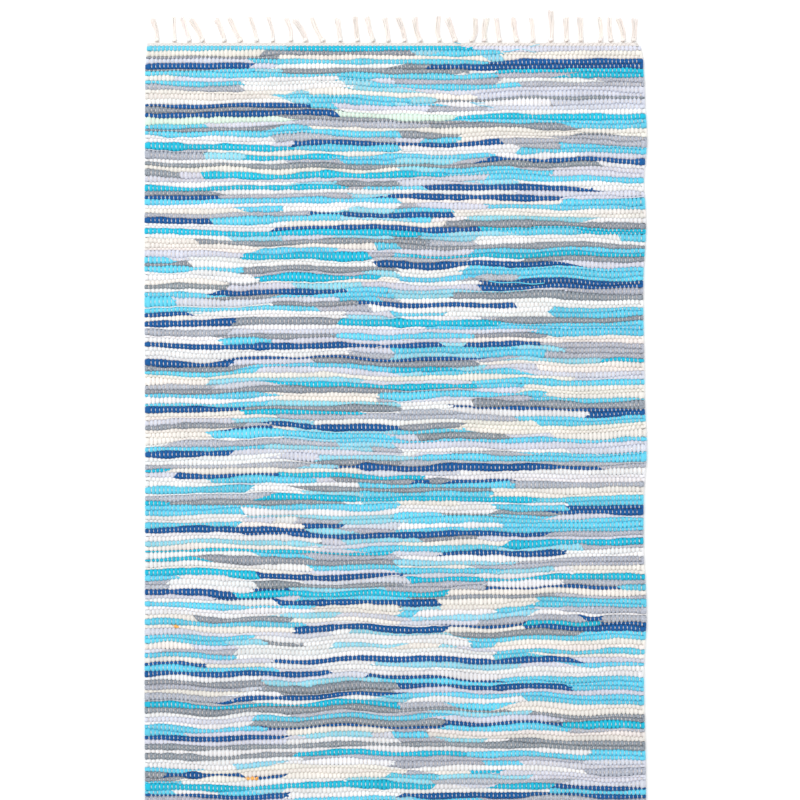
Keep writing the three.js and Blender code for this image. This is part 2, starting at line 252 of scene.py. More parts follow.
        (624, 447, 600), (706, 144, 400), (724, 565, 643, THICK), (755, 293, 466),
        (772, 472, 500, THIN), (784, 144, 435, THICK), (785, 495, 643),
    ],
    "O": [
        (628, 169, 173, THIN), (777, 243, 248, THIN),
    ],
    "N": [
        (60, 490, 643), (64, 144, 250), (66, 431, 643), (103, 144, 307, THIN), (112, 144, 337),
        (143, 291, 503), (158, 487, 646), (160, 508, 534, THIN), (185, 427, 597), (196, 144, 214),
        (198, 386, 566), (213, 307, 342, THIN), (216, 342, 453, THICK), (220, 144, 206),
        (227, 271, 330, THIN), (228, 330, 467), (265, 376, 575, THICK), (280, 484, 646, BROAD),
        (289, 213, 347), (303, 357, 508, 0.75), (314, 144, 187), (323, 144, 232, THICK),
        (344, 468, 545), (347, 156, 445), (358, 219, 482, THIN), (364, 144, 230, THICK),
        (408, 144, 242), (410, 453, 592, THIN), (412, 592, 646, BROAD), (428, 229, 268, THIN),
        (428, 268, 388, THICK), (455, 144, 229), (466, 336, 357, THIN), (469, 362, 605, THICK),
        (476, 171, 232, THICK), (476, 232, 275, THIN), (480, 414, 429, THIN), (480, 453, 517, THIN),
        (506, 574, 615, THIN), (506, 615, 646), (510, 565, 615, THIN), (510.5, 615, 646),
        (525, 302, 333, THIN), (528, 144, 262), (528, 262, 306, THIN), (534, 240, 285, THIN),
        (534, 285, 552), (551, 443, 478, THIN), (552.5, 478, 570, THICK), (578, 256, 300, THIN),
        (579, 300, 402), (585, 488, 624, THIN), (591, 249, 285, THIN), (594, 144, 202, THICK),
        (595, 216, 233), (601, 212, 275, THIN), (601, 275, 439), (621, 588, 604, THIN),
        (624, 604, 646, BROAD), (628, 292, 447, THICK), (628, 447, 527, THIN), (629, 527, 604),
        (661, 271, 584), (662, 144, 201), (673, 144, 331), (678, 368, 505, THIN), (688, 400, 576),
        (700, 230, 393, 0.7), (724, 446, 564, 0.7), (727, 264, 446, THIN), (737, 144, 285, 0.65),
        (775, 161, 180, THIN), (775, 206, 240, THIN), (775, 254, 283, THIN), (788, 558, 646),
        (795, 400, 646), (796, 144, 285, 0.6),
    ],
}

# How the rags between the charted ones are drawn. Places and reaches are shares of the rug's width.
FIRST_JOIN = (0.05, 0.35)
LAST_JOIN = (0.65, 0.95)
RAG_REACH = (0.08, 0.36)
SHORTEST_RAG = 0.03
FULLNESS = (0.68, 1.3)  # a rag's thickness, where 1 is as much as its row has room for
BROAD_FULLNESS = (0.72, 1.0)
STRONG = "NTD"  # cloths that stand out, so that an edge shows them in one row only

# The fringe: knots against the heading, and what hangs from them
FRINGE_REACH = 46.0
KNOT_LENGTH = 7.5
KNOT_WIDTH = 7.0
KNOT_HEIGHT = 5.0
KNOT_INTO_HEADING = 1.2
YARNS = 8  # to a tassel
YARN_RADIUS = 0.75

rng = np.random.default_rng(11)


def drawn(span):
    """A number drawn evenly from a span."""
    return float(rng.uniform(*span))


def scatter(a, b):
    """The same number from 0 to 1 each time for one pair of seeds, as in the solids."""
    value = np.sin(a * 12.9898 + b * 78.233) * 43758.5453
    return value - np.floor(value)


def inset_at(outline, from_end):
    """The inset of a selvedge, smooth at each row of its outline."""
    at, inset = np.array(outline, float).T
    from_end = np.clip(from_end, at[0], at[-1])
    row = np.clip(np.searchsorted(at, from_end, side="left") - 1, 0, len(at) - 2)
    share = (from_end - at[row]) / (at[row + 1] - at[row])
    return inset[row] + (inset[row + 1] - inset[row]) * share * share * (3 - 2 * share)


def selvedge(side, y):
    outline = RIGHT_OUTLINE if side > 0 else LEFT_OUTLINE
    return side * (WIDTH / 2 - inset_at(outline, CLOTH_LENGTH / 2 - y))


def across(share, y):
    """x at a share of the way from the outermost warp thread on the left to that on the right."""
    left = selvedge(-1, y) + EDGE
    right = selvedge(1, y) - EDGE
    return left + (right - left) * share


# Where the rows run

def drifts(share):
    """How far each edge between two rows lies from its even place: a line per edge, a column per share."""
    x = WIDTH * (share - 0.5)
    drift = np.zeros((PICKS + 1, len(x)))
    for k in range(1, PICKS):
        swing = sum(
            s.size * np.sin(2 * math.pi * (x / s.wavelength + scatter(k, j + 1)))
            for j, s in enumerate(SWINGS)
        )
        drift[k] = KEPT_DRIFT * drift[k - 1] + swing
    k = np.arange(PICKS + 1)
    straight = np.minimum(1, np.minimum(k, PICKS - k) / STRAIGHTENED_PICKS)
    return drift * straight[:, None]


Piece = namedtuple("Piece", "cloth start end thickness")


def insert(row, piece):
    """Lays a run into a row of pieces, which give way to it."""
    kept = []
    for old in row:
        if old.end <= piece.start or old.start >= piece.end:
            kept.append(old)
            continue
        if old.start < piece.start:
            kept.append(old._replace(end=piece.start))
        if old.end > piece.end:
            kept.append(old._replace(start=piece.end))
    return sorted(kept + [piece], key=lambda p: p.start)


def drawn_cloth(cloths, avoid):
    while True:
        cloth = cloths[rng.integers(len(cloths))]
        if cloth not in avoid:
            return cloth


def cloth_at(row, share):
    return next((p.cloth for p in row if p.start <= share <= p.end), "")


def row_at(down, share):
    """The row that lies nearest to a place in the photograph."""
    y = RAG_LENGTH / 2 - (down - PHOTO_FIRST_ROW) * PHOTO_PIXEL
    middles = RAG_LENGTH / 2 - PITCH * (np.arange(PICKS) + 0.5) + drifts(np.array([share]))[:-1, 0]
    return int(np.argmin(np.abs(middles - y)))


def share_across(pixel):
    """How far across the rug a place in the photograph lies, as a share of its width."""
    if pixel > READ_UP_TO:
        return 1.0
    return max((pixel - PHOTO_LEFT) / (PHOTO_RIGHT - PHOTO_LEFT), 0.0)


Charted = namedtuple("Charted", "row piece")


def charted_runs():
    """The charted runs, each in the row that lies where it does in the photograph."""
    found = []
    half_row = PITCH / PHOTO_PIXEL / 2
    for cloth, runs in RUNS.items():
        for run in (Run(*columns) for columns in runs):
            start, end = (share_across(px) for px in (run.start, run.end))
            broad = run.thickness == BROAD
            first = row_at(run.down - half_row if broad else run.down, (start + end) / 2)
            for row in range(first, first + (2 if broad else 1)):
                thickness = drawn(BROAD_FULLNESS) if broad else run.thickness
                found.append(Charted(row, Piece(cloth, start, end, thickness)))
    return found


def edge_cloth(chart, row_height, share, k, charted):
    """What a row shows at a selvedge, beside a charted run that starts there in its own row or the next."""
    y = RAG_LENGTH / 2 - PITCH * (k + 0.5) + drifts(np.array([share]))[k, 0]
    place = min(max(round((RAG_LENGTH / 2 - y) / row_height - 0.5), 0), len(chart) - 1)
    cloth = chart[place]
    near = [run.piece for run in charted if abs(run.row - k) <= 1 and run.piece.cloth == cloth]
    if not any(piece.start <= share <= piece.end for piece in near):
        return cloth
    return next(c for c in chart[place:] + chart[place::-1] if c not in STRONG)


def plan_rows():
    """The pieces of rag in each row, from left to right."""
    rows = []
    charted = charted_runs()
    for k in range(PICKS):
        left = edge_cloth(LEFT_CHART, PITCH, 0.0, k, charted)
        right = edge_cloth(RIGHT_CHART, 2 * PITCH, 1.0, k - k % 2, charted)
        above = rows[-1] if rows else []
        cloths = DRAWN[k * len(DRAWN) // PHOTO_ROWS] if k < PHOTO_ROWS else DRAWN_BEYOND
        at = drawn(FIRST_JOIN)
        until = drawn(LAST_JOIN)
        row = [Piece(left, 0.0, at, drawn(FULLNESS))]
        while at < until - RAG_REACH[0]:
            end = min(until, at + drawn(RAG_REACH))
            avoid = row[-1].cloth + right + cloth_at(above, (at + end) / 2)
            row.append(Piece(drawn_cloth(cloths, avoid), at, end, drawn(FULLNESS)))
            at = end
        row.append(Piece(right, at, 1.0, drawn(FULLNESS)))
        rows.append(row)
    for run in charted:
        rows[run.row] = insert(rows[run.row], run.piece)
    return rows


def tidied(row):
    """Joins neighbours of one cloth, and lets scraps too short to weave go to the piece before."""
    kept = []
    for piece in row:
        scrap = piece.end - piece.start < SHORTEST_RAG and piece.cloth not in "NO"
        if kept and (scrap or kept[-1].cloth == piece.cloth):
            kept[-1] = kept[-1]._replace(end=piece.end)
        elif scrap:
            kept.append(piece._replace(cloth=row[1].cloth, thickness=row[1].thickness))
        else:
            kept.append(piece)
    return kept


def softened(values, steps):
    """A running mean along the rows, so that a rag thickens and thins by degrees."""
    for _ in range(steps):
        padded = np.pad(values, ((0, 0), (1, 1)), mode="edge")
        values = (padded[:, :-2] + 2 * padded[:, 1:-1] + padded[:, 2:]) / 4
    return values


def row_edges(rows, share):
    """y of each edge between two rows at each warp thread: thick rags push the thin ones aside."""
    thick = np.ones((PICKS, len(share)))
    for k, row in enumerate(rows):
        for piece in row:
            thick[k, (share >= piece.start) & (share <= piece.end)] = piece.thickness
        for waves in SWELLS_ACROSS:
            thick[k] *= 1 + SWELL * np.sin(2 * math.pi * (waves * (share + rng.random())))
        thick[k] *= 1 + LUMPS * rng.normal(0, 1, len(share))
    thick = softened(thick, SOFTENING)
    even = RAG_LENGTH / 2 - PITCH * np.arange(PICKS + 1)[:, None] + drifts(share)
    even[1:-1] -= 0.5 * PITCH * (thick[:-1] - thick[1:])
    least = THINNEST_ROW * PITCH
    for k in range(1, PICKS):
        even[k] = np.minimum(even[k], even[k - 1] - least)
    for k in range(PICKS - 1, 0, -1):
        even[k] = np.maximum(even[k], even[k + 1] + least)
    return even


# Meshes
Strip = namedtuple("Strip", "rings sides length girth")
UV_GAP = 0.6  # between the strips of a piece where they are laid out flat
UV_GROWTH = 1.03  # how much larger each next square is that they are tried in
UV_SPOT = 0.3  # radius of the spot that the end of a tube is laid out in


class Stock:
    """Points, faces and face corners of one piece of the rug, gathered ring by ring."""

    def __init__(self):
        self.points = []
        self.tints = []
        self.faces = []
        self.strips = []
        self.count = 0

    def tube(self, rings, tint, closed=True, capped=True, girth=14.0):
        """Joins rings of points, an array (rings, points, 3), into a tube or an open ribbon."""
        n, m, _ = rings.shape
        first = self.count
        self.points.append(rings.reshape(-1, 3))
        self.tints.append(np.broadcast_to(tint, (n * m, 3)))
        self.count += n * m
        i = np.arange(n - 1)[:, None] * m
        j = np.arange(m if closed else m - 1)[None, :]
        after = (j + 1) % m
        quads = np.stack([i + j, i + after, i + m + after, i + m + j], axis=-1).reshape(-1, 4) + first
        length = float(np.linalg.norm(np.diff(rings.mean(axis=1), axis=0), axis=1).sum())
        caps = []
        if capped:
            caps = [np.arange(m)[::-1] + first, np.arange(m) + first + (n - 1) * m]
        self.faces.append((quads, caps))
        self.strips.append(Strip(n, len(j[0]), length, girth))

    def uv_layout(self):
        """Lays every strip out flat, in rows of one square."""
        total = sum(strip.length * (strip.girth + UV_GAP) for strip in self.strips)
        side = math.sqrt(total) * UV_GROWTH
        while True:
            places = self.shelves(side)
            if places is not None:
                return places, side
            side *= UV_GROWTH

    def shelves(self, side):
        """Where each strip lies in a square of this side, or None if it is too small."""
        places = []
        x = y = 0.0
        tallest = 0.0
        for strip in self.strips:
            if strip.length > side:
                return None
            if x + strip.length > side:
                x = 0.0
                y += tallest
                tallest = 0.0
            places.append((x, y))
            x += strip.length + UV_GAP
            tallest = max(tallest, strip.girth + UV_GAP)
        return places if y + tallest <= side else None

    def corners(self):
        """The points of each face, how many they are, and where each lies in the flat layout."""
        places, side = self.uv_layout()
        loops = []
        sizes = []
        uvs = []
        for (faces, caps), strip, (x, y) in zip(self.faces, self.strips, places):
            u = x + strip.length * np.arange(strip.rings) / (strip.rings - 1)
            v = y + strip.girth * np.arange(strip.sides + 1) / strip.sides
            low = np.repeat(u[:-1], strip.sides)
            high = np.repeat(u[1:], strip.sides)
            near = np.tile(v[:-1], strip.rings - 1)
            far = np.tile(v[1:], strip.rings - 1)
            loops.append(faces.reshape(-1))
            sizes.append(np.full(len(faces), 4))
            uvs.append(np.stack([low, near, low, far, high, far, high, near], axis=1).reshape(-1, 2))
            for at, cap in zip((u[0], u[-1]), caps):
                turn = 2 * math.pi * np.arange(len(cap)) / len(cap)
                loops.append(cap)
                sizes.append(np.array([len(cap)]))
                uvs.append(np.stack([
                    at + UV_SPOT * np.cos(turn),
                    y + strip.girth / 2 + UV_SPOT * np.sin(turn),
                ], axis=1))
        return np.concatenate(loops), np.concatenate(sizes), np.concatenate(uvs) / side

    def mesh(self, name):
        loops, sizes, uvs = self.corners()
        mesh = bpy.data.meshes.new(name)
        mesh.vertices.add(self.count)
        mesh.vertices.foreach_set("co", (np.concatenate(self.points) * MM).ravel().astype(np.float32))
        mesh.loops.add(len(loops))
        mesh.loops.foreach_set("vertex_index", loops.astype(np.int32))
        mesh.polygons.add(len(sizes))
        starts = np.concatenate([[0], np.cumsum(sizes)[:-1]])
        mesh.polygons.foreach_set("loop_start", starts.astype(np.int32))
        mesh.polygons.foreach_set("loop_total", sizes.astype(np.int32))
        mesh.polygons.foreach_set("use_smooth", np.ones(len(sizes), bool))
        layer = mesh.uv_layers.new(name="OFBake")
        layer.data.foreach_set("uv", uvs.ravel().astype(np.float32))
        tint = mesh.attributes.new("tint", "FLOAT_COLOR", "POINT")
        colours = np.ones((self.count, 4), np.float32)
        colours[:, :3] = np.concatenate(self.tints)
        tint.data.foreach_set("color", colours.ravel())
        mesh.update(calc_edges=True)
        mesh.validate()
        return mesh


def sweep(path, radius, sides, flat=1.0):
    """Rings of a thread that follows a path, round or flattened, lying in or near the floor's plane."""
    path = np.asarray(path, float)
    ahead = np.gradient(path, axis=0)
    ahead /= np.linalg.norm(ahead, axis=1)[:, None]
    beside = np.cross(ahead, (0, 0, 1.0))
    beside /= np.maximum(np.linalg.norm(beside, axis=1), 1e-6)[:, None]
    above = np.cross(beside, ahead)
    radius = np.broadcast_to(radius, len(path))[:, None, None]
    turn = 2 * math.pi * np.arange(sides)[None, :, None] / sides
    ring = np.cos(turn) * beside[:, None, :] + flat * np.sin(turn) * above[:, None, :]
    return path[:, None, :] + radius * ring


# The woven rows

warp_share = np.arange(WARPS) / (WARPS - 1)
planned = plan_rows()
edges = row_edges(planned, warp_share)
rows = [tidied(row) for row in planned]
stocks = {cloth: Stock() for cloth in CLOTHS}

# How much the rags of one cloth differ in depth and in hue, and how far a rag's depth wanders on its way
TINT_DEPTH = 0.035
TINT_HUE = 0.009
TINT_LIMITS = (0.84, 1.06)
FADING = 0.045
FADING_THREADS = (6, 22)
FADING_EACH_THREAD = 0.03


def rag_tint():
    """Rags of one cloth differ a little in depth and hue."""
    depth = rng.normal(1.0, TINT_DEPTH)
    return np.clip(depth * (1 + rng.normal(0, TINT_HUE, 3)), *TINT_LIMITS)


def faded(rings):
    """The tint at each point of a rag: it wanders slowly along it, and a little from thread to thread."""
    along = np.arange(len(rings))
    slow = 1 + FADING * np.sin(along / drawn(FADING_THREADS) + 2 * math.pi * rng.random())
    depth = slow * rng.normal(1, FADING_EACH_THREAD, len(along))
    return np.repeat(rag_tint() * depth[:, None], rings.shape[1], axis=0)


def ring_shares(k):
    """Where a row has its rings: two over each thread that it covers, one under each that covers it."""
    step = PLATEAU / (WIDTH - 2 * EDGE)
    over = warp_share[(np.arange(WARPS) + k) % 2 == 0]
    under = warp_share[(np.arange(WARPS) + k) % 2 == 1]
    shares = np.concatenate([over - step, over + step, under])
    high = np.concatenate([np.ones(2 * len(over), bool), np.zeros(len(under), bool)])
    order = np.argsort(shares, kind="stable")
    return shares[order], high[order]


def ramp(share, start, end):
    t = np.clip((share - start) / max(end - start, 1e-6), 0, 1)
    return t * t * (3 - 2 * t)


# How two rags of a row meet: for a stretch, in shares of the width, one thins out as the other starts
Join = namedtuple("Join", "start end upper")
LEAST_JOIN = 0.004
SHORT_JOIN = 0.012
LONG_JOIN = 0.05
LONG_JOINS = 0.35  # the share of joins that are long
JOIN_BEYOND = 0.6  # how far the stretch goes on past their join, as a share of its reach before it
THINNED = 0.9  # how much of its width a rag loses there


def joins_of(row):
    joins = []
    for before, after in zip(row, row[1:]):
        reach = min(0.5 * (before.end - before.start), 0.5 * (after.end - after.start))
        longest = LONG_JOIN if rng.random() < LONG_JOINS else SHORT_JOIN
        reach = min(reach, drawn((LEAST_JOIN, longest)))
        joins.append(Join(before.end - reach, before.end + reach * JOIN_BEYOND, bool(rng.integers(2))))
    return joins


def thinned(share, before, after):
    """How much of its width a rag loses at its far side and at its near one, where it meets others."""
    upper = np.zeros(len(share))
    lower = np.zeros(len(share))
    if before:
        side = upper if before.upper else lower
        side += THINNED * (1 - ramp(share, before.start, before.end))
    if after:
        side = lower if after.upper else upper
        side += THINNED * ramp(share, after.start, after.end)
    taken = np.minimum(upper + lower, THINNED) / np.maximum(upper + lower, 1e-6)
    return upper * taken, lower * taken


# A rag's section where it passes over a warp thread and where it passes under one: its thickness as a share
# of a full rag's, and half its width at the top and at the foot as a share of half the row
Section = namedtuple("Section", "thick top foot")
OVER = Section(0.95, 0.74, 1.32)
UNDER = Section(0.9, 0.6, 1.05)
ROW_LIMITS = (0.05, 1.1)  # how thin and how thick a rag counts, as a share of the pitch
FLATTEST = 0.5  # the least share of its thickness that a thin rag keeps
CREST_SCATTER = 0.12
TOP_SCATTER = 0.05
TILT = 0.32  # how far a rag's top leans to one side and the other
TILTS_ACROSS = (9, 16)
LEAST_RINGS = 4
PAST_EDGE = 0.01  # a row's outermost rings lie this far past the outermost warp threads at most


def rag_section(share, high, half):
    """The four corners of each ring: how far from the rag's middle line, in half widths, and how high."""
    count = len(share)
    fullness = np.sqrt(np.clip(2 * half / PITCH, *ROW_LIMITS))
    crest = CREST - CREST_LOSS * (1 - np.minimum(fullness, 1.0)) + rng.normal(0, CREST_SCATTER, count)
    top = np.where(high, crest, DIP)
    thick = RAG_THICKNESS * np.clip(fullness, FLATTEST, 1) * np.where(high, OVER.thick, UNDER.thick)
    bottom = top - thick
    wave = 2 * math.pi * (share * drawn(TILTS_ACROSS) + rng.random())
    tilt = np.where(high, TILT * np.sin(wave) * fullness, 0)
    wide = np.where(high, OVER.top, UNDER.top) * (1 + rng.normal(0, TOP_SCATTER, count))
    foot = np.where(high, OVER.foot, UNDER.foot)
    return [(foot, bottom), (wide, top + tilt), (-wide, top - tilt), (-foot, bottom)]


def weave_rag(k, piece, before, after):
    """One rag of a row, as a tube that bends over and under the warp threads."""
    shares, high = ring_shares(k)
    start = before.start if before else -PAST_EDGE
    end = after.end if after else 1 + PAST_EDGE
    mine = (shares >= start) & (shares <= end)
    if mine.sum() < LEAST_RINGS:
        return
    share = shares[mine]
    far = np.interp(share, warp_share, edges[k])
    near = np.interp(share, warp_share, edges[k + 1])
    height = far - near
    upper, lower = thinned(share, before, after)
    far = far - upper * height
    near = near + lower * height
    middle = (far + near) / 2
    half = (far - near) / 2
    x = across(share, middle)
    sides = rag_section(share, high[mine], half)
    rings = np.stack([np.stack([x, middle + s * half, z], axis=1) for s, z in sides], axis=1)
    if not before:
        rings = np.concatenate([row_end(-1, middle[0], half[0])[::-1], rings])
    if not after:
        rings = np.concatenate([rings, row_end(1, middle[-1], half[-1])])
    stocks[piece.cloth].tube(rings[:, ::-1], faded(rings))


# The rings at a row's end: how far inside the selvedge, top and bottom, and half the width in half rows
RowEnd = namedtuple("RowEnd", "inset top bottom wide")
ROW_END = [RowEnd(3.2, 6.3, 1.2, 0.8), RowEnd(1.3, 5.8, 0.8, 0.85), RowEnd(0.25, 4.3, 1.3, 0.72)]
ROW_END_FOOT = 1.15  # how much wider each is at its foot


def row_end(side, y, half):
    """Rings that take a row round the outermost warp thread to the selvedge, where it turns down."""
    edge = float(selvedge(side, y))
    rings = []
    for ring in ROW_END:
        x = edge - side * ring.inset
        foot = ring.wide * ROW_END_FOOT
        corners = ((foot, ring.bottom), (ring.wide, ring.top), (-ring.wide, ring.top), (-foot, ring.bottom))
        rings.append([(x, y + s * half, z) for s, z in corners])
    return np.array(rings)


# The turn of a rag at a selvedge, point by point: its place along the edge as a share of its reach, and how
# far inside the edge it lies and how thick it is as shares of its radius
LOOP_RADIUS = 1.9
LOOP_ALONG = np.array([0.86, 0.72, 0.4, 0.0, -0.4, -0.72, -0.86])
LOOP_INSIDE = np.array([1.5, 0.5, 0.05, 0.0, 0.05, 0.5, 1.5])
LOOP_GIRTH = np.array([0.5, 0.9, 1.0, 0.96, 1.0, 0.9, 0.5])
Loop = namedtuple("Loop", "inset middle_height half_height")
RIGHT_LOOP = Loop(0.0, 3.4, 3.0)
LEFT_LOOP = Loop(1.4, 2.2, 1.9)


def selvedge_loop(side, top, bottom, cloth):
    """The turn of a rag round the outermost warp thread, from one row into the next."""
    loop = RIGHT_LOOP if side > 0 else LEFT_LOOP
    middle = (top + bottom) / 2
    reach = (top - bottom) / 2
    edge = float(selvedge(side, middle)) - side * (LOOP_RADIUS + loop.inset)
    path = np.stack([
        edge + side * -LOOP_RADIUS * LOOP_INSIDE,
        middle + reach * LOOP_ALONG,
        np.full(len(LOOP_ALONG), loop.middle_height),
    ], axis=1)
    if side < 0:
        path = path[::-1]
    rings = sweep(path, LOOP_RADIUS * LOOP_GIRTH, 8, flat=loop.half_height / LOOP_RADIUS)
    stocks[cloth].tube(rings, rag_tint())


# Cut ends of rags that stand a little proud of the cloth
TUFTED = 0.4  # the share of cut ends that do
TUFT_LENGTH = (2.5, 6.0)
TUFT_BEFORE = 0.6  # the share of its length that lies before the cut
TUFT_ASIDE = 1.2
TUFT_SLANT = 0.3
TUFT_HEIGHT = 6.0
TUFT_RISE = 1.1
TUFT_ARCH = (0.15, 0.75)  # where its arch starts and how much of it there is, as shares of a half turn
TUFT_RADIUS = (1.2, 2.0)
TUFT_GIRTH = np.array([0.4, 0.85, 1.0, 0.95, 0.6])


def tuft(k, share, cloth):
    w = min(int(share * WARPS), WARPS - 1)
    middle = (edges[k, w] + edges[k + 1, w]) / 2
    x = float(across(share, middle))
    length = drawn(TUFT_LENGTH)
    along = np.linspace(0, 1, len(TUFT_GIRTH))
    aside = drawn((-TUFT_ASIDE, TUFT_ASIDE))
    slant = drawn((-TUFT_SLANT, TUFT_SLANT))
    path = np.stack([
        x - length * (TUFT_BEFORE - along),
        middle + aside + slant * length * along,
        TUFT_HEIGHT + TUFT_RISE * np.sin(math.pi * (TUFT_ARCH[0] + TUFT_ARCH[1] * along)),
    ], axis=1)
    radius = drawn(TUFT_RADIUS) * TUFT_GIRTH
    stocks[cloth].tube(sweep(path, radius, 6, flat=0.45), rag_tint(), girth=8)


for k, row in enumerate(rows):
    joins = joins_of(row)
    for piece, before, after in zip(row, [None, *joins], [*joins, None]):
        weave_rag(k, piece, before, after)
        if after and rng.random() < TUFTED:
            tuft(k, piece.end, piece.cloth)
k = 0
while k < PICKS - 1:
    if rows[k][-1].cloth == rows[k + 1][-1].cloth:
        selvedge_loop(1, edges[k, -1], edges[k + 2, -1], rows[k][-1].cloth)
        k += 1
    k += 1
for k in range(1, PICKS - 1, 2):
    selvedge_loop(-1, edges[k, 0], edges[k + 2, 0], rows[k][0].cloth)

# Loose threads frayed from the rags, lying on the cloth: where each starts, in the photograph's pixels,
# its length, which way it sets out, how far it turns on its way, and half its thickness
Stray = namedtuple("Stray", "across down length turn bend cloth radius", defaults=[0.42])
STRAYS = [
    Stray(520, 48, 20, -20, 10, "A"), Stray(528, 47, 14, 25, -20, "S"), Stray(470, 102, 18, -12, 20, "S"),
    Stray(592, 452, 9, -35, 10, "W"), Stray(483, 280, 78, -5, 5, "S", 0.8), Stray(453, 42, 9, -15, 5, "T"),
    Stray(400, 340, 20, 14, -34, "C"), Stray(186, 312, 22, -8, 12, "A"), Stray(332, 585, 11, 20, -30, "W"),
    Stray(374, 348, 10, 25, -30, "C"), Stray(421, 671, 16, 30, -50, "G"), Stray(194, 489, 78, 3, -6, "S"),
    Stray(466, 279, 22, 10, -14, "D"), Stray(520, 364, 34, 6, -14, "W"), Stray(467, 102, 34, -16, 8, "S"),
    Stray(500, 52, 24, 4, 12, "S", 0.6), Stray(400, 150, 16, -14, 30, "W"),
]
STRAY_POINTS = 13
STRAY_WOBBLE = 0.12
STRAY_WAVES = 11
STRAY_HEIGHT = CREST + 0.3
for stray in STRAYS:
    along = np.linspace(0, 1, STRAY_POINTS)
    wobble = STRAY_WOBBLE * np.sin(along * STRAY_WAVES + stray.down)
    heading = np.radians(stray.turn + stray.bend * along) + wobble
    steps = stray.length / (STRAY_POINTS - 1) * np.stack([np.cos(heading), np.sin(heading)], axis=1)
    spots = np.cumsum(steps, axis=0) + (
        (share_across(stray.across) - 0.5) * WIDTH,
        RAG_LENGTH / 2 - (stray.down - PHOTO_FIRST_ROW) * PHOTO_PIXEL,
    )
    path = np.column_stack([spots, np.full(STRAY_POINTS, STRAY_HEIGHT)])
    stocks[stray.cloth].tube(sweep(path, stray.radius, 5, flat=0.6), rag_tint(), girth=3)

# Headings: a few rows of plain warp yarn at each end
HEADING_ROWS = 3
HEADING_TOP = 3.5
HEADING_DIP = 1.4  # how much lower the yarn lies under a warp thread
HEADING_THICKNESS = 2.2
HEADING_CROWN = 0.7  # half the yarn's width at its top, as a share of half a row
HEADING_FOOT = 1.3
HEADING_WANDER = 0.12
HEADING_INSET = 0.6  # from the selvedge to where a row starts
heading_pitch = (HEADING + PART_GAP) / HEADING_ROWS
plain_yarn = Stock()


def heading_row(end, i):
    y = end * (RAG_LENGTH / 2 + heading_pitch * (i + 0.5))
    shares, high = ring_shares(i + (1 if end > 0 else 0))
    top = np.where(high, HEADING_TOP, HEADING_TOP - HEADING_DIP)
    bottom = top - HEADING_THICKNESS
    x = across(shares, np.full(len(shares), y))
    x[0] = selvedge(-1, y) + HEADING_INSET
    x[-1] = selvedge(1, y) - HEADING_INSET
    half = heading_pitch / 2
    middle = y + HEADING_WANDER * rng.normal(0, 1, len(shares))
    sides = [
        (HEADING_FOOT, bottom), (HEADING_CROWN, top), (-HEADING_CROWN, top), (-HEADING_FOOT, bottom),
    ]
    rings = np.stack([np.stack([x, middle + s * half, z], axis=1) for s, z in sides], axis=1)
    plain_yarn.tube(rings[:, ::-1], rag_tint(), girth=5)


for end in (1, -1):
    for i in range(HEADING_ROWS):
        heading_row(end, i)

# Tassels: where each one's knot is, how it leans to the left, and its length as a share of the longest
Tassel = namedtuple("Tassel", "at lean length")
FAR_TASSELS = [
    Tassel(-332, 11, 0.78), Tassel(-308, 3, 0.8), Tassel(-287, 17, 0.84), Tassel(-268, 26, 0.86),
    Tassel(-238, 18, 0.8), Tassel(-215, 27, 0.88), Tassel(-193, 15, 0.84), Tassel(-171, 9, 0.81),
    Tassel(-146, 9, 0.8), Tassel(-124, 26, 0.86), Tassel(-100, 27, 0.88), Tassel(-77, 9, 0.79),
    Tassel(-53, 7, 0.82), Tassel(-31, 15, 0.83), Tassel(-10, 9, 0.79), Tassel(13, 16, 0.83),
    Tassel(35, 17, 0.82), Tassel(61, 6, 0.82), Tassel(84, 19, 0.83), Tassel(105, -10, 0.79),
    Tassel(123, -2, 0.78), Tassel(145, 9, 0.79), Tassel(169, 11, 0.8), Tassel(191, 4, 0.78),
    Tassel(216, 0, 1), Tassel(238, 2, 0.8), Tassel(258, 4, 0.81), Tassel(285, 2, 0.8),
    Tassel(300, 6, 0.79), Tassel(317, 10, 0.79), Tassel(331, -2, 0.78),
]
NEAR_LEAN = 22
NEAR_SHORTEST = 0.78
NEAR_SPREAD = 0.07
NEAR_LONGEST = 17
NEAR_OFF_PLACE = 5


def near_tassels():
    """The near end's tassels as that end is seen from outside, like the solids'."""
    left, right = (-selvedge(side, -CLOTH_LENGTH / 2) for side in (1, -1))
    found = []
    for i in range(len(FAR_TASSELS)):
        place = left + (right - left) * (i + 0.5) / len(FAR_TASSELS)
        if i == NEAR_LONGEST:
            found.append(Tassel(place, 0, 1))
            continue
        found.append(Tassel(
            place + NEAR_OFF_PLACE * (scatter(i, 4) - 0.5),
            NEAR_LEAN * (scatter(i, 5) - 0.5),
            NEAR_SHORTEST + NEAR_SPREAD * scatter(i, 6),
        ))
    return found


tassels = {1: FAR_TASSELS, -1: near_tassels()}
fringes = {1: Stock(), -1: Stock()}
ROOT = CLOTH_LENGTH / 2 - KNOT_INTO_HEADING


def turned(points, lean, at):
    """From a tassel's own axes, root at the origin and along +Y, to its place at the far end."""
    angle = math.radians(lean)
    x, y, z = points[..., 0], points[..., 1], points[..., 2]
    return np.stack([
        at + x * math.cos(angle) - y * math.sin(angle),
        ROOT + x * math.sin(angle) + y * math.cos(angle),
        z,
    ], axis=-1)


def round_end(end, points):
    """What is made for the far end, turned half round for the near one."""
    return points if end > 0 else points * (-1, -1, 1)


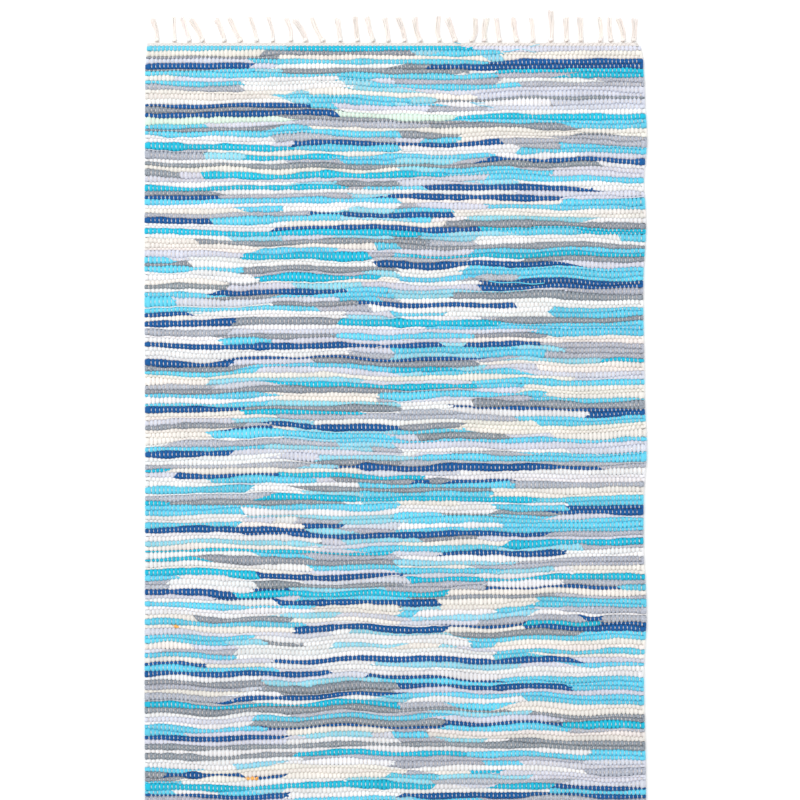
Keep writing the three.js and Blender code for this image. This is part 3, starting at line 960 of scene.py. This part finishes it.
# A tassel's yarns, from the knot, where they start at a share of its length, to their cut ends
YARN_START = 0.4
YARN_POINTS = 13
BOTTOM_YARNS = 4  # side by side on the floor, with the others on them
LONGEST_YARN = 1
YARN_SHORTER = 0.06  # by how much, at most, the others fall short
LOOSENESS = (0.75, 1.25)
SPREAD = 1.15  # from yarn to yarn at the knot
SPREADING = 0.75  # and how much more at the ends
SPREAD_SCATTER = 0.15
SWAY = 0.9
SWAY_TURN = 1.3  # of a half turn
YARN_WANDER = 0.5
YARN_RIPPLE = 0.22
YARN_RIPPLES = 9
TOP_LAYER = 1.25  # how high the upper yarns lie on the lower ones at the knot
TOP_LAYER_LOSS = 0.55
YARN_TAPER = 0.12
YARN_END = 0.97  # from here on a yarn is thinner, where it is cut
YARN_END_GIRTH = 0.75


def tassel_yarns(end, tassel):
    """Loose yarns side by side and on each other, drawn together at the knot and lying on the floor."""
    reach = (FRINGE_REACH + KNOT_INTO_HEADING) * tassel.length
    start = KNOT_LENGTH * YARN_START
    along = np.linspace(0, 1, YARN_POINTS)
    radius = YARN_RADIUS * (1 - YARN_TAPER * along) * np.where(along > YARN_END, YARN_END_GIRTH, 1.0)
    sway = rng.normal(0, SWAY)
    loose = drawn(LOOSENESS)
    for i in range(YARNS):
        layer = i // BOTTOM_YARNS
        beside = i % BOTTOM_YARNS - (BOTTOM_YARNS - 1) / 2 + 0.5 * layer
        length = reach * (1 if i == LONGEST_YARN else 1 - YARN_SHORTER * rng.random())
        spread = loose * (SPREAD + SPREADING * along) + rng.normal(0, SPREAD_SCATTER)
        x = beside * spread + sway * np.sin(math.pi * along * SWAY_TURN)
        wander = rng.normal(0, YARN_WANDER) * along ** 2
        x += wander + YARN_RIPPLE * np.sin(along * YARN_RIPPLES + rng.random() * 6)
        y = start + (length - start) * along
        z = YARN_RADIUS + layer * TOP_LAYER * (1 - TOP_LAYER_LOSS * along) + (1 - along) ** 4
        path = turned(np.stack([x, y, z], axis=1), tassel.lean, tassel.at)
        fringes[end].tube(sweep(round_end(end, path), radius, 5), rag_tint(), girth=4.6)


# A knot's core and the warp wound round it. Places along it are shares of its length.
KNOT_LEAN = 0.6  # a knot leans less than its tassel
CORE_POINTS = 9
CORE_START = 0.4
CORE_HEIGHT = 0.44
CORE_RADIUS = 0.4  # as a share of the knot's width
CORE_END_GIRTH = 0.25
WOUND_POINTS = 26
WOUND_TURNS = 2.1
WOUND_RADIUS = 1.05
WOUND_START = 0.5
WOUND_LENGTH = 0.35
WOUND_SLANT = 0.7
WOUND_INSIDE = (1.0, 0.9)  # how far inside the knot's width and height its middle line runs
WOUND_ROUNDING = 0.25  # how much closer it lies at both ends


def tassel_knot(end, tassel):
    """An overhand knot: a core, and the warp wound round it twice."""
    t = np.linspace(0, 1, CORE_POINTS)
    core = np.stack([
        np.zeros(CORE_POINTS),
        KNOT_LENGTH * (CORE_START + (1 - CORE_START) * t),
        np.full(CORE_POINTS, KNOT_HEIGHT * CORE_HEIGHT),
    ], axis=1)
    girth = CORE_END_GIRTH + (1 - CORE_END_GIRTH) * np.sin(math.pi * t) ** 0.5
    rings = sweep(core, KNOT_WIDTH * CORE_RADIUS * girth, 8, flat=KNOT_HEIGHT / KNOT_WIDTH)
    rings = round_end(end, turned(rings, tassel.lean * KNOT_LEAN, tassel.at))
    fringes[end].tube(rings, rag_tint())
    t = np.linspace(0, 1, WOUND_POINTS)
    angle = 2 * math.pi * WOUND_TURNS * t + rng.random() * 6
    out = 1 - WOUND_ROUNDING * np.abs(2 * t - 1) ** 3
    wound = np.stack([
        (KNOT_WIDTH / 2 - WOUND_INSIDE[0]) * out * np.cos(angle),
        KNOT_LENGTH * (WOUND_START + WOUND_LENGTH * t) + WOUND_SLANT * np.cos(angle),
        KNOT_HEIGHT / 2 + (KNOT_HEIGHT / 2 - WOUND_INSIDE[1]) * out * np.sin(angle),
    ], axis=1)
    wound = round_end(end, turned(wound, tassel.lean * KNOT_LEAN, tassel.at))
    fringes[end].tube(sweep(wound, WOUND_RADIUS, 6), rag_tint(), girth=6.5)


for end, found in tassels.items():
    for tassel in found:
        tassel_knot(end, tassel)
        tassel_yarns(end, tassel)

# The warp: one ribbon of a thread for each, over and under the rows, gathered into the knots at both ends.
# The spots say how near its knot a thread has come, how far past the cloth, and how high it lies there.
warp = Stock()
Spot = namedtuple("Spot", "gathered past height")
INTO_KNOT = [Spot(0.92, 3.0, 1.2), Spot(0.8, 0.2, 0.8)]
GATHERED_UNDER_HEADING = 0.45
UNDER_HEADING = 0.6
OVER_HEADING = HEADING_TOP - 0.1
RIDGE_UP_FROM = 2.0  # a thread that lies higher than this shows its ridge on top
WARP_HEIGHT_SCATTER = 0.2
WARP_WANDER = 0.16
WARP_WIDTH_SCATTER = 0.05
NARROWED = 0.75  # where it is gathered


def nearest_knot(end, x):
    return min(tassels[end], key=lambda tassel: abs(end * tassel.at - x))


def heading_crossings(end, w):
    """y and z of a warp thread at each heading row, from the cloth outwards."""
    i = np.arange(HEADING_ROWS)
    y = end * (RAG_LENGTH / 2 + heading_pitch * (i + 0.5))
    covered = ((w + i + (1 if end > 0 else 0)) % 2 == 0) | (i == HEADING_ROWS - 1)
    return np.stack([y, np.where(covered, UNDER_HEADING, OVER_HEADING)], axis=1)


def warp_thread(w):
    middles = (edges[:-1, w] + edges[1:, w]) / 2
    over = (np.arange(PICKS) + w) % 2 == 1
    heights = np.where(over, WARP_TOP + rng.normal(0, WARP_HEIGHT_SCATTER, PICKS), WARP_BOTTOM)
    crossings = np.stack([middles, heights], axis=1)
    y, z = np.concatenate([heading_crossings(1, w)[::-1], crossings, heading_crossings(-1, w)]).T
    x = across(warp_share[w], y) + WARP_WANDER * rng.normal(0, 1, len(y))
    tips = {}
    for end, last in ((1, 0), (-1, -1)):
        start = x[last]
        goal = end * nearest_knot(end, start).at
        x[last] = start + (goal - start) * GATHERED_UNDER_HEADING
        tips[end] = [
            (start + (goal - start) * spot.gathered, end * (CLOTH_LENGTH / 2 + spot.past), spot.height)
            for spot in INTO_KNOT
        ]
    path = np.vstack([tips[1], np.stack([x, y, z], axis=1), tips[-1][::-1]])
    up = np.concatenate([[1, 1], np.where(z > RIDGE_UP_FROM, 1, -1), [1, 1]])
    half = np.full(len(path), WARP_HALF_WIDTH * (1 + rng.normal(0, WARP_WIDTH_SCATTER)))
    gathered = HEADING_ROWS + len(INTO_KNOT)
    half[:gathered] *= NARROWED
    half[-gathered:] *= NARROWED
    ridge = WARP_RIDGE * up
    left = path + np.stack([-half, np.zeros(len(path)), -ridge], axis=1)
    right = path + np.stack([half, np.zeros(len(path)), -ridge], axis=1)
    rings = np.stack([left, path, right], axis=1)
    warp.tube(rings, rag_tint(), closed=False, capped=False, girth=2.6)


for w in range(WARPS):
    warp_thread(w)


# Materials

class Socket:
    """A shader socket that adds its own maths nodes."""

    def __init__(self, nodes, socket):
        self.nodes = nodes
        self.socket = socket

    def maths(self, operation, a, b):
        node = self.nodes.add("ShaderNodeMath", {"operation": operation}, {0: a, 1: b})
        return Socket(self.nodes, node.outputs[0])

    def __add__(self, other):
        return self.maths("ADD", self, other)

    def __sub__(self, other):
        return self.maths("SUBTRACT", self, other)

    def __mul__(self, other):
        return self.maths("MULTIPLY", self, other)

    def __rsub__(self, other):
        return self.maths("SUBTRACT", other, self)

    __radd__ = __add__
    __rmul__ = __mul__


class Nodes:
    """The node tree of one material."""

    def __init__(self, material):
        material.use_nodes = True
        self.tree = material.node_tree
        self.tree.nodes.clear()

    def add(self, kind, settings=None, inputs=None):
        node = self.tree.nodes.new(kind)
        for name, value in (settings or {}).items():
            setattr(node, name, value)
        for name, value in (inputs or {}).items():
            if isinstance(value, Socket):
                self.tree.links.new(value.socket, node.inputs[name])
            else:
                node.inputs[name].default_value = value
        return node

    def out(self, node, name=0):
        return Socket(self, node.outputs[name])

    def noise(self, vector, scale, detail=2.0, roughness=0.5):
        node = self.add("ShaderNodeTexNoise", {}, {
            "Vector": vector, "Scale": scale, "Detail": detail, "Roughness": roughness,
        })
        return self.out(node, "Fac")

    def place(self, stretch):
        """Object coordinates, squeezed by stretch along each axis."""
        coordinates = self.add("ShaderNodeTexCoord")
        node = self.add("ShaderNodeMapping", {}, {
            "Vector": self.out(coordinates, "Object"), "Scale": stretch,
        })
        return self.out(node)

    def times(self, colour, other):
        """Two colours, or a colour and a grey factor, multiplied."""
        settings = {"data_type": "RGBA", "blend_type": "MULTIPLY"}
        node = self.add("ShaderNodeMix", settings, {0: 1.0, 6: colour, 7: other})
        return self.out(node, 2)

    def surface(self, inputs):
        """A plain surface with these values and links."""
        shader = self.add("ShaderNodeBsdfPrincipled", {}, inputs)
        self.add("ShaderNodeOutputMaterial", {}, {"Surface": self.out(shader)})


def linear(colour):
    """From the 0 to 255 of a screen to the shader's own scale."""
    found = [c / 255 for c in colour]
    found = [c / 12.92 if c <= 0.04045 else ((c + 0.055) / 1.055) ** 2.4 for c in found]
    return (*found, 1.0)


# How fine each pattern of the cotton is, in features to a metre
MOTTLE_SCALE = 60
CREASE_SCALE = 420
SPECK_SCALE = 640
FIBRE_SCALE = 900
SPECK_STRETCH = (0.7, 1, 1)


def cotton(name, colour, stretch, mottle=0.1, fuzz=0.16, relief=0.0004, melange=0.0):
    """Matt cotton: the rag's own tint, soft mottling, fine fibres, and creases along the thread."""
    material = bpy.data.materials.new(name)
    nodes = Nodes(material)
    broad = nodes.noise(nodes.place((1, 1, 1)), MOTTLE_SCALE, 3)
    fine = nodes.noise(nodes.place(stretch), FIBRE_SCALE, 3, 0.6)
    shade = 1 - mottle / 2 - fuzz / 2 + broad * mottle + fine * fuzz
    if melange:
        specks = nodes.noise(nodes.place(SPECK_STRETCH), SPECK_SCALE, 1)
        shade = shade + (specks - 0.5) * melange
    tint = nodes.out(nodes.add("ShaderNodeAttribute", {"attribute_name": "tint"}), "Color")
    crease = nodes.noise(nodes.place(stretch), CREASE_SCALE, 2)
    bump = nodes.add("ShaderNodeBump", {}, {
        "Strength": 0.8, "Distance": relief, "Height": crease * 0.7 + fine * 0.3,
    })
    nodes.surface({
        "Base Color": nodes.times(nodes.times(tint, linear(colour)), shade),
        "Roughness": 0.9,
        "Specular IOR Level": 0.2,
        "Sheen Weight": 0.15,
        "Sheen Roughness": 0.6,
        "Normal": nodes.out(bump),
    })
    return material


MELANGE = {"D": 1.5, "G": 1.1, "L": 0.4}  # cloths spun from light and dark fibres
ALONG_X = (0.3, 1.3, 1.3)
ALONG_Y = (1.3, 0.35, 1.3)
UNDYED_WARP = (236, 225, 219)
UNDYED_TASSELS = (244, 236, 230)
UNDYED_HEADING = (243, 238, 234)
YARN_RELIEF = 0.0003  # metres


def piece_of(name, stock, material):
    made = bpy.data.objects.new(name, stock.mesh(name))
    bpy.context.scene.collection.objects.link(made)
    made.data.materials.append(material)
    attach(made, "root")
    return made


for letter, (cloth, colour) in CLOTHS.items():
    if stocks[letter].count:
        material = cotton(f"{cloth} cotton", colour, ALONG_X, melange=MELANGE.get(letter, 0.0))
        rag = piece_of(f"rag_{cloth}", stocks[letter], material)
        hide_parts("rug_body")

undyed = cotton("undyed warp cotton", UNDYED_WARP, ALONG_Y, relief=YARN_RELIEF)
loose_yarn = cotton("undyed tassel cotton", UNDYED_TASSELS, ALONG_Y, relief=YARN_RELIEF)
undyed_across = cotton("undyed heading cotton", UNDYED_HEADING, ALONG_X, relief=YARN_RELIEF)
warp_piece = piece_of("warp_threads", warp, undyed)
heading_piece = piece_of("heading_rows", plain_yarn, undyed_across)
far_fringe = piece_of("tassels_far", fringes[1], loose_yarn)
near_fringe = piece_of("tassels_near", fringes[-1], loose_yarn)
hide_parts("rug_body")
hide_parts("fringe_far", "fringe_near")
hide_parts("fringe_far")
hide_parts("fringe_near")

# The floor it lies on, in metres
FLOOR_HALF = 4.0
FLOOR_BELOW = 0.0002
FLOOR_COLOUR = (0.97, 0.97, 0.97, 1)
corners = [(x * FLOOR_HALF, y * FLOOR_HALF, 0) for x, y in ((-1, -1), (1, -1), (1, 1), (-1, 1))]
floor_mesh = bpy.data.meshes.new("floor")
floor_mesh.from_pydata(corners, [], [(0, 1, 2, 3)])
floor = bpy.data.objects.new("floor", floor_mesh)
bpy.context.scene.collection.objects.link(floor)
floor.location.z = -FLOOR_BELOW
paint = bpy.data.materials.new("pale floor")
Nodes(paint).surface({"Base Color": FLOOR_COLOUR, "Roughness": 0.9, "Specular IOR Level": 0.1})
floor.data.materials.append(paint)

# Light: an even white room, and one large soft lamp from the far left
ROOM_STRENGTH = 0.96
LAMP_PLACE = (-1.2, 1.8, 3.0)
LAMP_SIZE = 1.6
LAMP_POWER = 40
world = bpy.data.worlds.new("room")
bpy.context.scene.world = world
world.use_nodes = True
world.node_tree.nodes["Background"].inputs["Color"].default_value = (1, 1, 1, 1)
world.node_tree.nodes["Background"].inputs["Strength"].default_value = ROOM_STRENGTH
lamp_data = bpy.data.lights.new("key", "AREA")
lamp_data.shape = "DISK"
lamp_data.size = LAMP_SIZE
lamp_data.energy = LAMP_POWER
lamp = bpy.data.objects.new("key", lamp_data)
bpy.context.scene.collection.objects.link(lamp)
lamp.location = LAMP_PLACE
lamp.rotation_euler = (-Vector(LAMP_PLACE)).to_track_quat("-Z", "Y").to_euler()

# Camera: straight above, as in the photograph, whose frame is this wide and centred here
FRAME_WIDTH = 1112.0
FRAME_CENTRE = (5.9, 102.4)
LENS = 85.0
SENSOR = 36.0
view = bpy.data.cameras.new("camera")
view.lens = LENS
view.sensor_width = SENSOR
camera = bpy.data.objects.new("camera", view)
bpy.context.scene.collection.objects.link(camera)
distance = FRAME_WIDTH * LENS / SENSOR
camera.location = Vector((*FRAME_CENTRE, distance + CREST)) * MM
bpy.context.scene.camera = camera
bpy.context.scene.view_settings.view_transform = "Standard"
